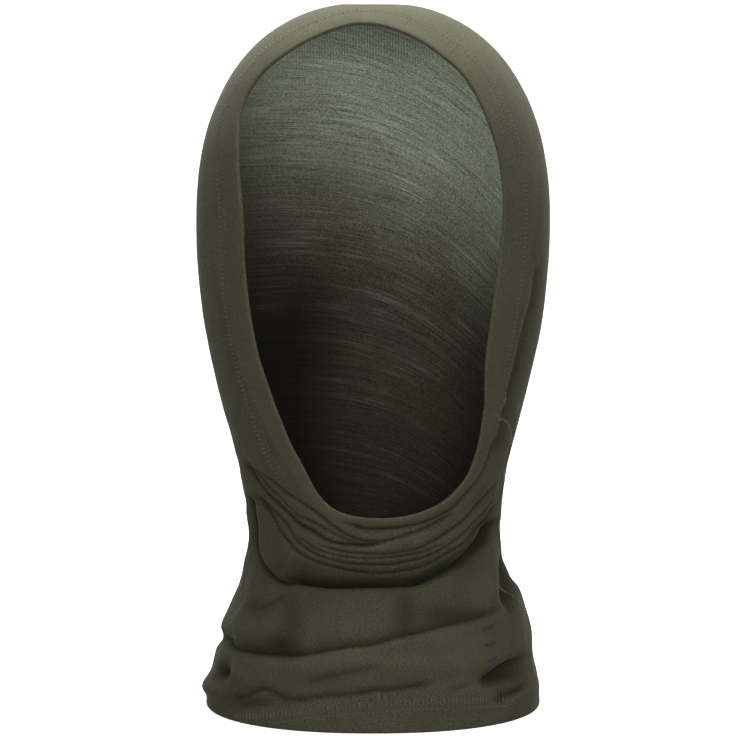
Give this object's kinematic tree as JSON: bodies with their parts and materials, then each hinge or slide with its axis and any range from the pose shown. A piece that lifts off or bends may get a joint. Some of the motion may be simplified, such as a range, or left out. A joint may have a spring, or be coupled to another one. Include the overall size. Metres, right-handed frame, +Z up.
{
  "type": "neck gaiter",
  "caption": "Fine jersey tube worn as neck warmer and hood: flared neck hem, cloth gathered under the chin, tall oval face opening, stitched hems, one side seam.",
  "frame": {"origin": "under the middle of the part's box, on the plane of the neck hem's lower edge", "axes": "+Z up towards the crown, -Y the way the face opening looks, +X the wearer's left, where the side seam is"},
  "size_m": [0.17, 0.186, 0.3358],
  "materials": {
    "jersey": "matte fine wool jersey, dark olive",
    "jersey_back": "matte reverse of the jersey",
    "thread": "brown sewing thread",
    "label": "plain woven satin, blank",
    "mark": "matte tonal print"
  },
  "bodies": {
    "root": {"tube_body": "jersey", "neck_hem_turning": "jersey_back", "face_hem_turning": "jersey_back", "neck_hem_chain_thread": "thread", "neck_hem_ladder_thread": "thread", "neck_hem_looper_thread": "thread", "face_hem_chain_thread": "thread", "face_hem_ladder_thread": "thread", "face_hem_looper_thread": "thread", "side_seam_overlap": "jersey_back", "side_seam_thread": "thread", "neck_seam_tack": "thread", "face_seam_tack": "thread", "care_label": "label", "tonal_mark": "mark"}
  },
  "joints": []
}
